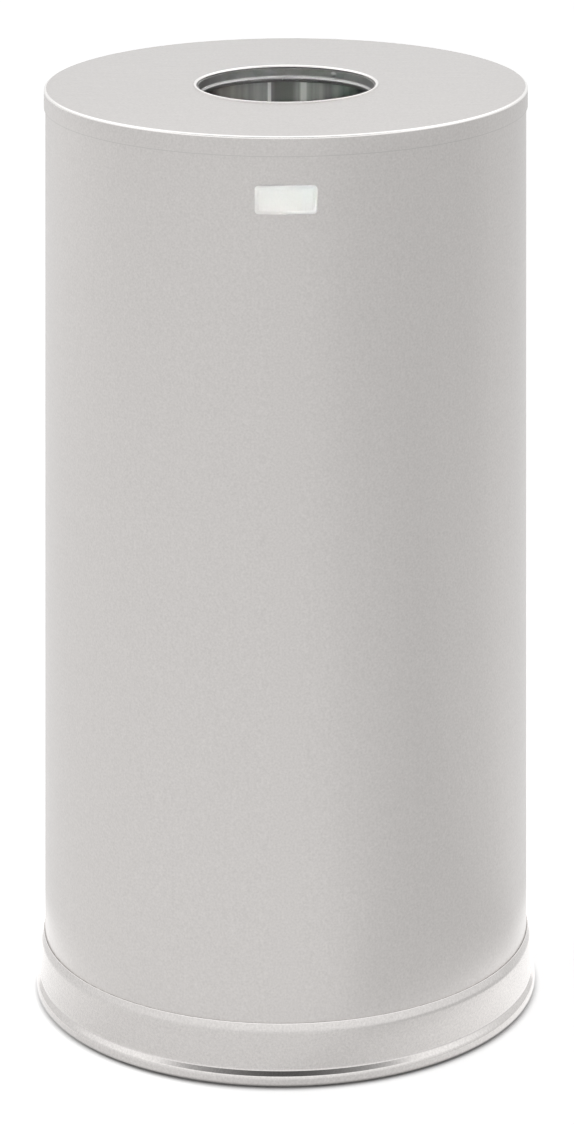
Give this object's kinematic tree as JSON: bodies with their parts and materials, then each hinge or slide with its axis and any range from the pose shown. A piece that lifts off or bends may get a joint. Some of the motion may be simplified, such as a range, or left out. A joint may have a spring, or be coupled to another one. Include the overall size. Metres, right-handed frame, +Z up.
{
  "type": "round trash can",
  "caption": "Round free-standing sheet-metal trash can with a lift-off lid, a round opening in the lid, a lift-out metal liner and a stepped base ring on rubber feet.",
  "frame": {"origin": "on the floor, below the centre of the can", "axes": "+Z up along the can's axis, front towards -Y, back seam towards +Y, +X to the right seen from the front"},
  "size_m": [0.3942, 0.3942, 0.7108],
  "materials": {
    "satin_stainless": "satin stainless sheet",
    "bright_stainless": "bright roll-formed stainless sheet",
    "galvanised_steel": "galvanised sheet, dull",
    "zinc_plated_steel": "zinc plated",
    "black_rubber": "moulded, matt",
    "black_vinyl": "extruded edge trim"
  },
  "bodies": {
    "can": {"body_shell": "satin_stainless", "base_pan": "galvanised_steel", "base_ring": "bright_stainless", "foot_front_left": "black_rubber", "foot_front_right": "black_rubber", "foot_back_left": "black_rubber", "foot_back_right": "black_rubber", "foot_washers": "zinc_plated_steel", "foot_rivets": "zinc_plated_steel"},
    "liner": {"liner_wall": "galvanised_steel", "liner_bottom": "galvanised_steel", "rim_wire": "zinc_plated_steel", "hand_hole_trim_left": "black_vinyl", "hand_hole_trim_right": "black_vinyl"},
    "lid": {"lid_top": "satin_stainless", "throat_collar": "galvanised_steel", "throat_rivets": "zinc_plated_steel"}
  },
  "joints": [
    {"name": "liner_lift", "type": "slide", "parent": "can", "child": "liner", "axis": [0, 0, 1], "range_m": [0, 0.7]},
    {"name": "lid_lift", "type": "slide", "parent": "liner", "child": "lid", "axis": [0, 0, 1], "range_m": [0, 0.25]}
  ]
}
